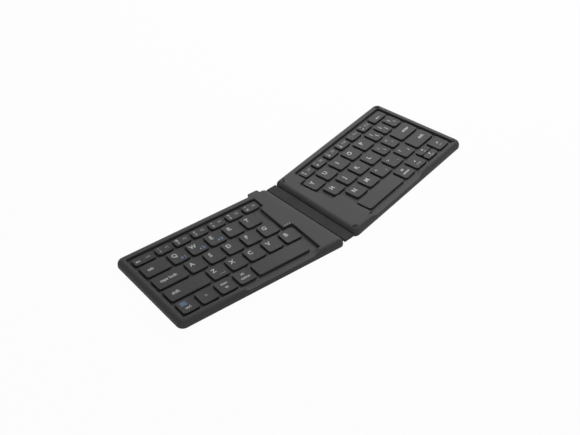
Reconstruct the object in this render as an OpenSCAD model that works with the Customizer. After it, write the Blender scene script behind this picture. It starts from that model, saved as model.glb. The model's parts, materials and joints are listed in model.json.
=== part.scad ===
// Folding keyboard with two mirrored halves and a soft hinge band between them.
// The rows of each half slope down towards the middle, and each half has a
// stepped key well, spring-back keys and a raised plateau beside the hinge.
// Origin: middle of the footprint, at the height of the surface that it stands on.

/* [Layout] */
// Slope of the rows of each half against the overall width, in degrees
row_slope = 7; // [5:0.5:9]
// Distance from one letter key to the next
letter_pitch = 18; // [17.5:0.1:18.5]
// Distance from one letter row to the next
row_pitch = 17.1; // [16.6:0.1:17.6]
// Bare width between two neighbouring keys
key_gap = 2.5; // [2.2:0.1:2.8]
// Front-to-back size of the short number keys
number_depth = 8.9; // [8.6:0.1:9.4]

/* [Key widths, counted in letter pitches] */
// Distance between number keys of the left half
number_units_left = 0.961; // [0.945:0.005:0.97]
// Distance between number keys of the right half
number_units_right = 0.9444; // [0.935:0.005:0.955]
// Distance between the narrow punctuation keys
narrow_units = 0.7778; // [0.76:0.01:0.8]
// Distance between the keys of the arrow group
arrow_units = 0.9778; // [0.96:0.01:0.99]
// Sideways step from the top letter row to the home row
home_units = 0.2944; // [0.25:0.01:0.33]
// Sideways step from the top letter row to the lower row
lower_units = 0.8056; // [0.77:0.01:0.83]
// Width of the escape key
escape_units = 1.083; // [1.06:0.01:1.13]
// Width of the tab key
tab_units = 1.306; // [1.28:0.01:1.36]
// Width of the left space key
space_units_left = 2.833; // [2.68:0.01:2.92]
// Distance from the middle to the outer end of the key rows
field_units = 8.43; // [8.4:0.02:8.55]
// Distance from the middle to the first key of the right top letter row
letters_units_right = 1.236; // [1.18:0.01:1.27]
// Distance from the middle to the first number key of the right half
numbers_units_right = 1.73; // [1.67:0.01:1.77]
// Distance from the middle to the right space key
space_units_right = 1.72; // [1.67:0.01:1.77]

/* [Keys] */
// Thickness of the top of a key cap
cap_top = 1.1; // [0.9:0.1:1.3]
// Thickness of the skirt of a key cap
cap_wall = 1; // [0.8:0.1:1.2]
// Corner radius of a key cap, seen from above
cap_corner = 2.5; // [2:0.1:2.8]
// Radius that rounds the upper edges of a key cap
cap_edge = 0.5; // [0.3:0.1:0.6]
// Depth of the finger dish in a key cap
dish_depth = 0.2; // [0.1:0.05:0.3]
// Distance that a key travels when it is pressed
key_travel = 1.4; // [1.2:0.1:1.5]
// Clearance between a key cap and the edge of its opening
key_clearance = 0.35; // [0.3:0.05:0.45]
// Slit between the up arrow and the down arrow
arrow_slit = 0.8; // [0.6:0.1:1]
// Base diameter of a rubber dome
dome_base = 6; // [5.4:0.1:6.4]
// Thickness of the scissor links
link_thickness = 0.6; // [0.5:0.05:0.7]
// Width of the bars of a scissor link
link_bar = 0.9; // [0.8:0.1:1]

/* [Housing] */
// Width of the rim beside the outer ends of the rows
outer_rim = 6.4; // [6:0.1:7]
// Width of the rim behind the number row
back_rim = 6.6; // [6.2:0.1:7.2]
// Width of the rim in front of the space row
front_rim = 5.4; // [5:0.1:6.3]
// Height of the plateau and the rim above the table
plateau_z = 8; // [7.9:0.1:8.2]
// Depth of the key tops below the plateau
key_top_drop = 0.4; // [0.3:0.1:0.6]
// Height of the parting line between the shells
seam_z = 3.3; // [3.2:0.1:3.4]
// Thickness of the floor of the bottom shell
floor_thickness = 1; // [0.8:0.1:1.1]
// Height of the web between the keys
web_z = 5.6; // [5.5:0.1:5.7]
// Thickness of the web between the keys
web_thickness = 0.8; // [0.6:0.1:0.9]
// Thickness of the skin over the plateau
plateau_skin = 1; // [0.8:0.1:1.2]
// Corner radius of the outer corners
outer_corner = 6; // [5:0.5:7]
// Corner radius beside the hinge
spine_corner = 5; // [4.5:0.5:6]
// Corner radius at the front of the left half, beside the hinge
left_front_corner = 4; // [3.6:0.1:5]
// Radius that rounds the upper edge of the rim
rim_round = 4.4; // [3:0.1:4.5]
// Radius that rounds the lower edge of the bottom shell
base_round = 1.2; // [0.8:0.1:1.4]
// Bare margin between the keys and the walls of the well
well_margin = 2.6; // [2.2:0.1:2.8]
// Margin between the last number key and the plateau
number_margin = 1.9; // [1.6:0.1:2.2]
// Fillet in the corners of the well
well_fillet = 1.3; // [1:0.1:1.6]
// Distance from the middle to the inner end of the lowered front rim
scoop_inner = 31; // [30:0.5:32]
// Distance from the middle to the outer end of the lowered front rim
scoop_outer = 94; // [88:1:98]
// Length of the slopes at the ends of the lowered front rim
scoop_ramp = 8; // [6:0.5:9]

/* [Hinge] */
// Thickness of the hinge band
band_thickness = 2.4; // [2.2:0.1:2.6]
// Height of the two folding lines above the table
fold_z = 4; // [3.9:0.05:4.1]
// Gap between the plateaus when the keyboard is folded
folded_gap = 0.8; // [0.7:0.1:1.2]
// Clearance between the band and the edges of the halves
band_clearance = 0.3; // [0.25:0.05:0.4]
// Depth of the clamped flange inside each half
flange_depth = 4.2; // [3.8:0.1:4.4]
// Width of the flat cable inside the band, along the fold
cable_width = 18; // [14:1:24]
// Thickness of the flat cable
cable_thickness = 0.3; // [0.2:0.05:0.4]

/* [Port and lights] */
// Width of the opening of the charging port
port_width = 8.3; // [8:0.1:8.6]
// Height of the opening of the charging port
port_height = 2.6; // [2.4:0.1:2.8]
// Wall of the metal shell of the port
port_wall = 0.3; // [0.25:0.05:0.35]
// Distance that the port housing stands behind the back edge
lug_depth = 1.6; // [1.4:0.1:2.2]
// Width of the port housing
lug_width = 11.8; // [11.4:0.2:13]
// Diameter of the status lights
light_diameter = 1; // [0.8:0.1:1.1]

/* [Fittings] */
// Height of the feet below the bottom shell
foot_height = 0.6; // [0.5:0.1:0.7]
// Length of a foot
foot_length = 16; // [12:1:20]
// Width of a foot
foot_width = 5; // [4:0.5:6]
// Depth of the shallow seats of feet and bumpers
pad_seat = 0.3; // [0.2:0.05:0.4]
// Length of a corner bumper
bumper_length = 4.4; // [4:0.1:5]
// Width of a corner bumper
bumper_width = 1.9; // [1.6:0.1:2]
// Height of a corner bumper above the rim
bumper_height = 0.6; // [0.4:0.1:0.6]
// Shank diameter of a housing screw
screw_diameter = 1.6; // [1.4:0.1:1.8]
// Diameter of a closing magnet
magnet_diameter = 3.6; // [3.2:0.1:3.8]
// Height of a closing magnet
magnet_height = 2; // [1.6:0.1:2.2]

/* [Hidden] */
$fn = 32;

LEFT = -1;
RIGHT = 1;
black = "#3b3c3f";
dark = "#2b2c2e";
rubber = "#222325";

// Heights
base_z = foot_height;
floor_z = base_z + floor_thickness;
plate_thickness = 0.4;
plate_z = seam_z - plate_thickness / 2;
membrane_z = plate_z + plate_thickness;
membrane_thickness = 0.25;
stack_z = membrane_z + membrane_thickness;
web_underside = web_z - web_thickness;
room_top = plateau_z - plateau_skin;
seat_gap = 0.1;
// A pressed key stops just above the membrane
press_clearance = 0.15;
key_top_z = plateau_z - key_top_drop;
skirt_z = stack_z + key_travel + press_clearance;
cap_height = key_top_z - skirt_z;
cap_underside = key_top_z - cap_top;

// Rows, counted from the number row at the back to the space row at the front
function row_front(row) = row == 0 ? row_pitch : -(row - 1) * row_pitch;
function row_depth(row) = row == 0 ? number_depth : row_pitch - key_gap;
letter_width = letter_pitch - key_gap;
number_pitch_left = number_units_left * letter_pitch;
number_pitch_right = number_units_right * letter_pitch;
narrow_pitch = narrow_units * letter_pitch;
arrow_pitch = arrow_units * letter_pitch;
home_stagger = home_units * letter_pitch;
lower_stagger = lower_units * letter_pitch;
escape_width = escape_units * letter_pitch;
tab_width = tab_units * letter_pitch;
space_width_left = space_units_left * letter_pitch;
field_outer = field_units * letter_pitch;
letters_start_right = letters_units_right * letter_pitch;
numbers_start_right = numbers_units_right * letter_pitch;
space_start_right = space_units_right * letter_pitch;

// A key is [distance of its inner edge from the middle, front edge, width, depth]
function key_left(start, row, width) = [-(start + width), row_front(row), width, row_depth(row)];
function key_right(start, row, width) = [start, row_front(row), width, row_depth(row)];
function row_left(row, start, pitch, count) =
    [for (i = [0 : count - 1]) key_left(start + i * pitch, row, pitch - key_gap)];
function row_right(row, start, pitch, count) =
    [for (i = [0 : count - 1]) key_right(start + i * pitch, row, pitch - key_gap)];
function key_to_edge(start, row) = key_right(start, row, field_outer - start);

// Left half
letters_start_left = -field_outer + tab_width + key_gap;
space_start_left = -field_outer + 4 * letter_pitch;
escape_key = key_left(-field_outer, 0, escape_width);
number_keys_left = row_left(0, -field_outer + escape_width + key_gap, number_pitch_left, 6);
tab_key = key_left(-field_outer, 1, tab_width);
top_keys_left = row_left(1, letters_start_left, letter_pitch, 5);
caps_key = key_left(-field_outer, 2, tab_width + home_stagger);
home_keys_left = row_left(2, letters_start_left + home_stagger, letter_pitch, 5);
shift_key_left = key_left(-field_outer, 3, tab_width + lower_stagger);
lower_keys_left = row_left(3, letters_start_left + lower_stagger, letter_pitch, 5);
function modifier_left(place) = key_left(-field_outer + place * letter_pitch, 4, letter_width);
space_key_left = key_left(space_start_left, 4, space_width_left);
LEFT_KEYS = concat([escape_key], number_keys_left, [tab_key], top_keys_left, [caps_key],
    home_keys_left, [shift_key_left], lower_keys_left,
    [for (place = [0 : 3]) modifier_left(place)], [space_key_left]);

// Right half
narrow_start_top = letters_start_right + 5 * letter_pitch;
narrow_start_home = letters_start_right + home_stagger + 4 * letter_pitch;
function arrow_cell(place) =
    key_right(field_outer + key_gap - place * arrow_pitch, 4, arrow_pitch - key_gap);
number_keys_right = row_right(0, numbers_start_right, number_pitch_right, 6);
backspace_key = key_to_edge(numbers_start_right + 6 * number_pitch_right, 0);
top_keys_right = concat(row_right(1, letters_start_right, letter_pitch, 5),
    row_right(1, narrow_start_top, narrow_pitch, 2));
backslash_key = key_to_edge(narrow_start_top + 2 * narrow_pitch, 1);
home_keys_right = concat(row_right(2, letters_start_right + home_stagger, letter_pitch, 4),
    row_right(2, narrow_start_home, narrow_pitch, 2));
enter_key = key_to_edge(narrow_start_home + 2 * narrow_pitch, 2);
lower_keys_right = row_right(3, letters_start_right + lower_stagger, letter_pitch, 5);
shift_key_right = key_to_edge(letters_start_right + lower_stagger + 5 * letter_pitch, 3);
arrow_key_right = arrow_cell(1);
arrow_key_middle = arrow_cell(2);
arrow_key_left = arrow_cell(3);
meta_key_right = arrow_cell(4);
space_key_right = key_right(space_start_right, 4, meta_key_right[0] - key_gap - space_start_right);
half_arrow = (arrow_key_middle[3] - arrow_slit) / 2;
arrow_key_down = [arrow_key_middle[0], arrow_key_middle[1], arrow_key_middle[2], half_arrow];
arrow_key_up = [arrow_key_middle[0], arrow_key_middle[1] + half_arrow + arrow_slit,
    arrow_key_middle[2], half_arrow];
RIGHT_SINGLE_KEYS = concat(number_keys_right, [backspace_key], top_keys_right, [backslash_key],
    home_keys_right, [enter_key], lower_keys_right, [shift_key_right, space_key_right,
    meta_key_right, arrow_key_left, arrow_key_right]);
RIGHT_KEYS = concat(RIGHT_SINGLE_KEYS, [arrow_key_up, arrow_key_down]);
RIGHT_OPENINGS = concat(RIGHT_SINGLE_KEYS, [arrow_key_middle]);
function keys_of(side) = side == LEFT ? LEFT_KEYS : RIGHT_KEYS;
function openings_of(side) = side == LEFT ? LEFT_KEYS : RIGHT_OPENINGS;

// Hinge
fold_spacing = 2 * (plateau_z - fold_z) + folded_gap;
band_radius = band_thickness / 2;
fold_x = fold_spacing / 2;
spine_x = fold_x + band_radius + band_clearance;
slot_x = spine_x + flange_depth + seat_gap;
room_x = slot_x + 1;

// Stepped well: its three inner walls lie beside the number, letter and space rows
row_space = row_front(4);
well_back = row_front(0) + number_depth + well_margin;
well_front = row_space - well_margin;
well_outer = field_outer + well_margin;

// Outline of a half
half_outer = well_outer + outer_rim;
back_edge = well_back + back_rim;
edge_front = well_front - front_rim;
function spine_u(v, x) = (x + v * sin(row_slope)) / cos(row_slope);
function world_y(v, x) = (v + x * sin(row_slope)) / cos(row_slope);
function front_corner(side) = side == LEFT ? left_front_corner : spine_corner;
function low_y(side) =
    world_y(edge_front + front_corner(side), spine_x + front_corner(side)) - front_corner(side);
high_y = (half_outer - outer_corner) * sin(row_slope)
    + (back_edge - outer_corner) * cos(row_slope) + outer_corner;
y_mid = (high_y + min(low_y(LEFT), low_y(RIGHT))) / 2;

// Stepped inner wall of the well, and its points from the back to the front
function first(keys) = keys[0][0];
function last_start(keys) = keys[len(keys) - 1][0];
function wall_numbers(side) = side == LEFT ? last_start(number_keys_left) - number_margin
    : first(number_keys_right) - number_margin;
function wall_letters(side) = side == LEFT ? last_start(home_keys_left) - well_margin
    : first(top_keys_right) - number_margin;
function wall_space(side) = side == LEFT ? last_start(lower_keys_left) - well_margin
    : space_start_right - number_margin;
step_back = row_front(1) + row_depth(1) + key_gap / 2;
// The front step runs behind the lower row on the left and before the home row on the right
function step_front(side) = side == LEFT ? row_front(3) + row_depth(3) + well_margin
    : row_front(2) - key_gap / 2;
function step_back_at(side, grow) =
    step_back - grow * sign(wall_letters(side) - wall_numbers(side));
function step_front_at(side, grow) =
    step_front(side) - grow * sign(wall_space(side) - wall_letters(side));
function stepped_wall(side, grow, back_v, front_v) = [
    [wall_numbers(side) - grow, back_v],
    [wall_numbers(side) - grow, step_back_at(side, grow)],
    [wall_letters(side) - grow, step_back_at(side, grow)],
    [wall_letters(side) - grow, step_front_at(side, grow)],
    [wall_space(side) - grow, step_front_at(side, grow)],
    [wall_space(side) - grow, front_v]
];
function well_points(side, grow) = concat(
    [[well_outer + grow, well_front - grow], [well_outer + grow, well_back + grow]],
    stepped_wall(side, grow, well_back + grow, well_front - grow));
// Room under the plateau, between the stepped wall and the hinge
room_step = 1.2;
room_wall = 0.9;
rim_wall = 3.2;
room_back = back_edge - rim_wall;
room_front = row_space + room_step;
function room_points(side, shrink) = concat(
    [[spine_u(room_front + shrink, room_x + shrink), room_front + shrink],
     [spine_u(room_back - shrink, room_x + shrink), room_back - shrink]],
    stepped_wall(side, room_wall + shrink, room_back - shrink, room_front + shrink));
under_web_grow = 1;
plate_gap = 0.4;

// Rounds each corner of a polygon with an arc of the given radius
arc_steps = 4;
function unit(p) = p / norm(p);
function corner_arc(before, corner, after, radius) =
    let (
        a = unit(before - corner),
        b = unit(after - corner),
        half_angle = acos(max(-1, min(1, a * b))) / 2,
        reach = radius / tan(half_angle),
        centre = corner + unit(a + b) * radius / sin(half_angle),
        start = corner + a * reach - centre,
        end = corner + b * reach - centre,
        turn = start.x * end.y - start.y * end.x > 0 ? 1 : -1,
        sweep = 180 - 2 * half_angle
    )
    [for (i = [0 : arc_steps])
        let (t = turn * sweep * i / arc_steps)
        centre + [start.x * cos(t) - start.y * sin(t), start.x * sin(t) + start.y * cos(t)]];
function rounded(points, radius) = [
    for (i = [0 : len(points) - 1])
        each corner_arc(points[(i + len(points) - 1) % len(points)], points[i],
            points[(i + 1) % len(points)], radius)
];

// Charging port: its middle, its height and its metal shell
port_offset = 23.1;
port_z = 5.3;
port_length = 7.3;
port_recess = 0.3;
port_outer_width = port_width + 2 * port_wall;
port_outer_height = port_height + 2 * port_wall;
lug_inner = port_offset - lug_width / 2;
lug_depth_inside = 4.5;
lug_taper = 1.5;
lug_round = 1.4;
lug_corner = 0.8;

// Circuit boards, and the parts on them as [distance from the wall beside the hinge, depth,
// width, length, height]
board_thickness = 0.8;
board_z = port_z - port_outer_height / 2 - board_thickness;
board_gap = 0.4;
board_inset = 8;
board_pad_shift = 1.2;
left_board_parts = [[3, -26, 8, 8, 1.2], [4, -38, 7, 5, 1], [6, -6, 5, 5, 0.9]];
right_board_parts = [[1.6, -6, 4, 6, 1]];
battery_width = 16;
battery_height = 4.2;
battery_gap = 0.8;

// Three status lights in a row behind the front step of the left half
light_pitch = 2.3;
light_behind_step = 1.5;
light_inset = 3.9;
light_middle = wall_space(LEFT) + light_inset;
light_spots = [
    for (i = [-1 : 1]) [light_middle + light_pitch * i, step_front(LEFT) + light_behind_step]
];
light_foot_gap = 0.5;

// Housing screws stand in the outer, the back and the front rim
rim_middle = outer_rim / 2;
screw_inset = 2.6;
screw_back = back_edge - screw_inset;
screw_front = edge_front + screw_inset;
screw_inner = 0.4 * field_outer;
screw_outer = 0.72 * field_outer;
screw_spots = [
    [half_outer - rim_middle, row_front(0)], [half_outer - rim_middle, row_front(3) - letter_pitch / 2],
    [screw_inner, screw_back], [screw_outer, screw_back],
    [screw_inner, screw_front], [screw_outer, screw_front]
];
screw_head = 3;
screw_head_height = 0.7;
screw_socket = 1.5;
screw_socket_depth = 0.4;
screw_sunk = 0.1;
screw_cover = 0.8;
screw_tip_z = web_z - screw_cover;

// Magnets stand in the outer rim, and feet near the four corners of the bottom
magnet_shift = 0.3;
magnet_spots = [
    for (row = [1, 3]) [half_outer - rim_middle + magnet_shift, row_front(row) + row_pitch / 3]
];
foot_inset = 6;
foot_inset_back = 12;
foot_inset_front = 11;
foot_inset_spine = 16;
foot_outer = field_outer - foot_inset;
foot_back = back_edge - foot_inset_back;
foot_front = edge_front + foot_inset_front;
foot_spots = [
    [foot_outer, foot_back],
    [foot_outer, foot_front],
    [spine_u(foot_back, spine_x + foot_inset_spine), foot_back],
    [spine_u(foot_front, spine_x + foot_inset_spine), foot_front]
];
bumper_inset = 5.4;
bumper_hinge_shift = 0.6;
bumper_hinge_inset = bumper_inset + bumper_hinge_shift;
bumper_back = back_edge - bumper_inset;
bumper_front = edge_front + bumper_inset;
// Corner bumpers as [distance from the middle, depth, angle]
bumper_spots = [
    [half_outer - bumper_inset, bumper_back, -45],
    [half_outer - bumper_inset, bumper_front, 45],
    [spine_u(bumper_back, spine_x + bumper_hinge_inset), bumper_back, 45],
    [spine_u(bumper_front, spine_x + bumper_hinge_inset), bumper_front, -45]
];
pad_gap = 0.05;
bore_gap = 0.1;
tiny = 0.01;

// ---- Helpers -------------------------------------------------------------

// Puts a shape from the frame of a half into the frame of the keyboard
module half(side) {
    if (side == LEFT)
        translate([0, -y_mid, 0]) mirror([1, 0, 0]) rotate(row_slope) children();
    else
        translate([0, -y_mid, 0]) rotate(row_slope) children();
}

// Undoes the slope of the rows, for what runs along the hinge
module along_spine() {
    rotate(-row_slope) children();
}

module rounded_rect(width, depth, radius) {
    translate([radius, 0]) square([width - 2 * radius, depth]);
    translate([0, radius]) square([width, depth - 2 * radius]);
    for (x = [radius, width - radius], y = [radius, depth - radius])
        translate([x, y]) circle(radius);
}

module stadium(length, width) {
    square([length - width, width], center = true);
    for (x = [-1, 1] * (length - width) / 2)
        translate([x, 0]) circle(d = width);
}

// Section of a bar that is rounded along both upper edges
module crowned_section(width, height, radius) {
    square([width, height - radius]);
    translate([radius, 0]) square([width - 2 * radius, height]);
    for (x = [radius, width - radius])
        translate([x, height - radius]) circle(radius);
}

// Corners of the outline of a half, counterclockwise, as [centre, radius]
function spine_centre(v, radius) = [spine_u(v, spine_x + radius), v];
function corners(side) = [
    [[half_outer - outer_corner, edge_front + outer_corner], outer_corner],
    [[half_outer - outer_corner, back_edge - outer_corner], outer_corner],
    [spine_centre(back_edge - spine_corner, spine_corner), spine_corner],
    [spine_centre(edge_front + front_corner(side), front_corner(side)), front_corner(side)]
];
// Directions in which the four edges face, beginning before the first corner
edge_angles = [-90, 0, 90, 180 - row_slope, 270];

// Outline of a half, drawn in by the given distance
corner_steps = 8;
function half_ring(side, inset) = [
    for (i = [0 : 3])
        let (post = corners(side)[i], start = edge_angles[i], sweep = edge_angles[i + 1] - start)
        for (step = [0 : corner_steps])
            let (angle = start + sweep * step / corner_steps)
            post[0] + (post[1] - inset) * [cos(angle), sin(angle)]
];

// Solid that passes through outlines with the same number of points, one above the other
module ringed_solid(rings, heights) {
    count = len(rings[0]);
    last = len(rings) - 1;
    points = [for (k = [0 : last]) for (p = rings[k]) [p.x, p.y, heights[k]]];
    walls = [
        for (k = [0 : last - 1]) for (n = [0 : count - 1])
            let (m = (n + 1) % count)
            [k * count + n, (k + 1) * count + n, (k + 1) * count + m, k * count + m]
    ];
    base = [for (n = [0 : count - 1]) n];
    crown = [for (n = [count - 1 : -1 : 0]) last * count + n];
    polyhedron(points, concat([base], walls, [crown]));
}

// Quarter of a round, from its side to its top, as [distance drawn in, height]
round_steps = 6;
function quarter(radius) = [
    for (step = [0 : round_steps])
        let (t = 90 * step / round_steps)
        [radius * (1 - cos(t)), radius * sin(t)]
];

// Upper half of the housing, rounded at its top
module crowned_block(side, bottom, top, radius) {
    levels = quarter(radius);
    rings = concat([half_ring(side, 0)], [for (level = levels) half_ring(side, level[0])]);
    heights = concat([bottom], [for (level = levels) top - radius + level[1]]);
    ringed_solid(rings, heights);
}

// Lower half of the housing, rounded at its bottom
module base_block(side, bottom, top, radius) {
    levels = [for (step = [round_steps : -1 : 0]) quarter(radius)[step]];
    rings = concat([for (level = levels) half_ring(side, level[0])], [half_ring(side, 0)]);
    heights = concat([for (level = levels) bottom + radius - level[1]], [top]);
    ringed_solid(rings, heights);
}

// Housing of the charging port, which stands a little behind the back edge
lug_points = [
    [lug_inner, back_edge - lug_depth_inside],
    [lug_inner + lug_taper, back_edge + lug_depth],
    [lug_inner + lug_width - lug_taper, back_edge + lug_depth],
    [lug_inner + lug_width, back_edge - lug_depth_inside]
];
module lug_block(bottom, top) {
    intersection() {
        translate([0, 0, bottom])
            linear_extrude(top - bottom) polygon(rounded(lug_points, lug_corner));
        translate([lug_inner - 1, back_edge + lug_depth, bottom])
            rotate([90, 0, 90]) linear_extrude(lug_width + 2)
                translate([-20, 0]) crowned_section(20, top - bottom, lug_round);
    }
}

// Slot of the clamped flange of the hinge band
flange_low = fold_z - band_radius + seat_gap;
flange_high = fold_z + band_radius - seat_gap;
flange_back = world_y(back_edge - spine_corner - 1, spine_x);
flange_front = world_y(edge_front + spine_corner + 1, spine_x);
module flange_space(side, gap) {
    along_spine()
        translate([spine_x - 1, flange_front - gap, flange_low - gap])
            cube([flange_depth + 1 + gap, flange_back - flange_front + 2 * gap,
                flange_high - flange_low + 2 * gap]);
}

// ---- Shells --------------------------------------------------------------

// Front rim that is lowered to the level of the web, with a slope at each end
module scoop() {
    deep = well_front - edge_front + 1;
    translate([0, well_front + 0.1, 0]) rotate([90, 0, 0]) linear_extrude(deep)
        polygon([[scoop_inner, web_z], [scoop_outer, web_z],
            [scoop_outer + scoop_ramp, plateau_z + tiny],
            [scoop_inner - scoop_ramp, plateau_z + tiny]]);
}

// Chamfer along the outer edge of the lowered front rim
scoop_chamfer = 0.7;
module scoop_edge() {
    translate([scoop_inner, edge_front, web_z])
        rotate([45, 0, 0])
            translate([0, -scoop_chamfer * sqrt(0.5), -scoop_chamfer * sqrt(0.5)])
                cube([scoop_outer - scoop_inner, 2 * scoop_chamfer * sqrt(0.5),
                    2 * scoop_chamfer * sqrt(0.5)]);
}

module key_openings(side, clearance) {
    for (key = openings_of(side))
        translate([key[0] - clearance, key[1] - clearance])
            rounded_rect(key[2] + 2 * clearance, key[3] + 2 * clearance, cap_corner + clearance);
}

module top_shell(side) {
    difference() {
        union() {
            crowned_block(side, seam_z, plateau_z, rim_round);
            if (side == LEFT) lug_block(seam_z, plateau_z);
        }
        translate([0, 0, web_z])
            linear_extrude(plateau_z) polygon(rounded(well_points(side, 0), well_fillet));
        translate([0, 0, seam_z - 1]) linear_extrude(web_underside - seam_z + 1)
            polygon(rounded(well_points(side, under_web_grow), well_fillet));
        translate([0, 0, seam_z - 1]) linear_extrude(room_top - seam_z + 1)
            polygon(room_points(side, 0));
        translate([0, 0, web_underside - 1]) linear_extrude(web_thickness + 2)
            key_openings(side, key_clearance);
        scoop();
        scoop_edge();
        flange_space(side, seat_gap);
        for (spot = screw_spots)
            translate([spot.x, spot.y, seam_z - 1])
                cylinder(h = screw_tip_z + bore_gap - seam_z + 1, d = screw_diameter + 2 * bore_gap);
        for (spot = magnet_spots)
            translate([spot.x, spot.y, seam_z - 1])
                cylinder(h = magnet_height + bore_gap + 1, d = magnet_diameter + 2 * bore_gap);
        if (side == LEFT) {
            port_passage();
            for (spot = light_spots)
                translate([spot.x, spot.y, room_top - 1])
                    cylinder(h = plateau_skin + 2, d = light_diameter + 2 * pad_gap);
        }
        if (side == RIGHT)
            for (spot = bumper_spots)
                translate([spot.x, spot.y, plateau_z - pad_seat]) rotate(spot[2])
                    linear_extrude(2) stadium(bumper_length + 2 * pad_gap, bumper_width + 2 * pad_gap);
    }
}

module port_passage() {
    translate([port_offset, back_edge + lug_depth + 1, port_z]) rotate([90, 0, 0])
        linear_extrude(1 + port_recess + port_length + bore_gap)
            stadium(port_outer_width + 2 * bore_gap, port_outer_height + 2 * bore_gap);
}

// Straight ribs that carry the key plate, and pads that carry the circuit boards
rib_width = 1;
rib_start = 40;
module floor_ribs() {
    for (row = [0 : 4])
        translate([rib_start, row_front(row) - rib_width / 2, floor_z])
            cube([field_outer - rib_start - key_gap, rib_width, plate_z - floor_z]);
}

board_pad_size = 4;
board_pad_inset = 2;
module board_pads(side) {
    for (v = [board_front(side) + board_pad_inset,
            board_back(side) - board_pad_inset - board_pad_size])
        translate([spine_u(v, room_x + board_pad_shift), v, floor_z])
            cube([board_pad_size, board_pad_size, board_z - floor_z]);
}

module bottom_shell(side) {
    difference() {
        union() {
            base_block(side, base_z, seam_z, base_round);
            if (side == LEFT)
                translate([0, 0, base_z + base_round])
                    linear_extrude(seam_z - base_z - base_round)
                        polygon(rounded(lug_points, lug_corner));
        }
        difference() {
            translate([0, 0, floor_z]) linear_extrude(plateau_z) {
                polygon(rounded(well_points(side, under_web_grow), well_fillet));
                polygon(room_points(side, 0));
            }
            floor_ribs();
            board_pads(side);
        }
        flange_space(side, seat_gap);
        for (spot = screw_spots) {
            translate([spot.x, spot.y, 0])
                cylinder(h = plateau_z, d = screw_diameter + 2 * bore_gap);
            translate([spot.x, spot.y, 0])
                cylinder(h = base_z + screw_sunk + screw_head_height, d = screw_head + 2 * bore_gap);
        }
        for (spot = foot_spots)
            translate([spot.x, spot.y, 0]) linear_extrude(base_z + pad_seat)
                stadium(foot_length + 2 * pad_gap, foot_width + 2 * pad_gap);
    }
}

// ---- Key mechanism -------------------------------------------------------

module key_plate(side) {
    translate([0, 0, plate_z]) linear_extrude(plate_thickness)
        polygon(well_points(side, under_web_grow - plate_gap));
}

module membrane(side) {
    translate([0, 0, membrane_z]) linear_extrude(membrane_thickness)
        polygon(well_points(side, under_web_grow - 2 * plate_gap));
}

function key_centre(key) = [key[0] + key[2] / 2, key[1] + key[3] / 2];

// Hollow rubber dome that pushes one key back up
dome_height = cap_underside - seat_gap - stack_z;
dome_wall = 0.5;
dome_foot = 0.3;
dome_top_share = 0.2;
dome_neck_share = 0.75;
dome_neck_z = dome_neck_share * dome_height;
module dome(base) {
    top = dome_top_share * base;
    rotate_extrude()
        polygon([
            [base / 2 - dome_wall, 0], [base / 2, 0], [base / 2, dome_foot],
            [top + dome_wall / 2, dome_neck_z], [top, dome_height],
            [0, dome_height], [0, dome_height - dome_wall], [top - dome_wall / 2, dome_neck_z - 0.1]
        ]);
}

// The smallest keys are guided by their dome alone, and other domes stand inside their links
link_width = 12;
link_reach = 11;
link_gap = 0.3;
short_dome_share = 0.8;
short_dome_base = short_dome_share * dome_base;
function has_scissor(key) = key[3] >= number_depth && key[2] > link_width + 2 * cap_wall;
function reach_of(key) = min(link_reach, key[3] - 2 * (cap_wall + link_thickness));
function dome_base_of(key) = has_scissor(key)
    ? min(dome_base, reach_of(key) - 2 * link_bar - 2 * link_gap) : short_dome_base;
module domes(side) {
    for (key = keys_of(side))
        translate([key_centre(key).x, key_centre(key).y, stack_z]) dome(dome_base_of(key));
}

// Pair of crossed frames, joined by their pivot pins, that guide one key
module scissor(reach) {
    rise = cap_underside - stack_z - 2 * seat_gap - link_thickness;
    tilt = asin(rise / reach);
    pin_length = 2 * link_bar + link_gap;
    translate([0, 0, (stack_z + cap_underside) / 2]) {
        rotate([tilt, 0, 0]) link_frame(link_width, reach);
        rotate([-tilt, 0, 0]) link_frame(link_width - 2 * (link_bar + link_gap), reach);
        for (start = [-link_width / 2, link_width / 2 - pin_length])
            translate([start, 0, 0])
                rotate([0, 90, 0]) cylinder(h = pin_length, d = link_thickness, $fn = 16);
    }
}

module link_frame(width, reach) {
    difference() {
        cube([width, reach, link_thickness], center = true);
        cube([width - 2 * link_bar, reach - 2 * link_bar, 1], center = true);
    }
}

module scissors(side) {
    for (key = keys_of(side))
        if (has_scissor(key))
            translate([key_centre(key).x, key_centre(key).y, 0]) scissor(reach_of(key));
}

// Key cap: rounded slab with a crowned edge, a finger dish and a hollow underside
widest_dished = 21;
module key_cap(key) {
    width = key[2];
    depth = key[3];
    dish_radius = pow(width / 2, 2) / (2 * dish_depth);
    translate([key[0], key[1], skirt_z])
        difference() {
            intersection() {
                linear_extrude(cap_height) rounded_rect(width, depth, cap_corner);
                translate([0, depth, 0]) rotate([90, 0, 0])
                    linear_extrude(depth) crowned_section(width, cap_height, cap_edge);
                rotate([90, 0, 90])
                    linear_extrude(width) crowned_section(depth, cap_height, cap_edge);
            }
            if (width < widest_dished)
                translate([width / 2, -1, cap_height - dish_depth + dish_radius])
                    rotate([-90, 0, 0]) cylinder(h = depth + 2, r = dish_radius, $fn = 720);
            translate([cap_wall, cap_wall, -1])
                cube([width - 2 * cap_wall, depth - 2 * cap_wall, cap_height - cap_top + 1]);
        }
}

module caps(side, keys) {
    color(dark) half(side)
        for (key = keys)
            key_cap(key);
}

// ---- Electronics ---------------------------------------------------------

// The right board is short and lies behind the battery
function board_back(side) = side == LEFT ? room_back - board_gap : step_back;
function board_front(side) = side == LEFT ? room_front + board_inset : step_front(RIGHT) + key_gap;
module board_outline(side) {
    intersection() {
        polygon(room_points(side, board_gap));
        translate([0, board_front(side)])
            square([rib_start, board_back(side) - board_front(side)]);
    }
}

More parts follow.
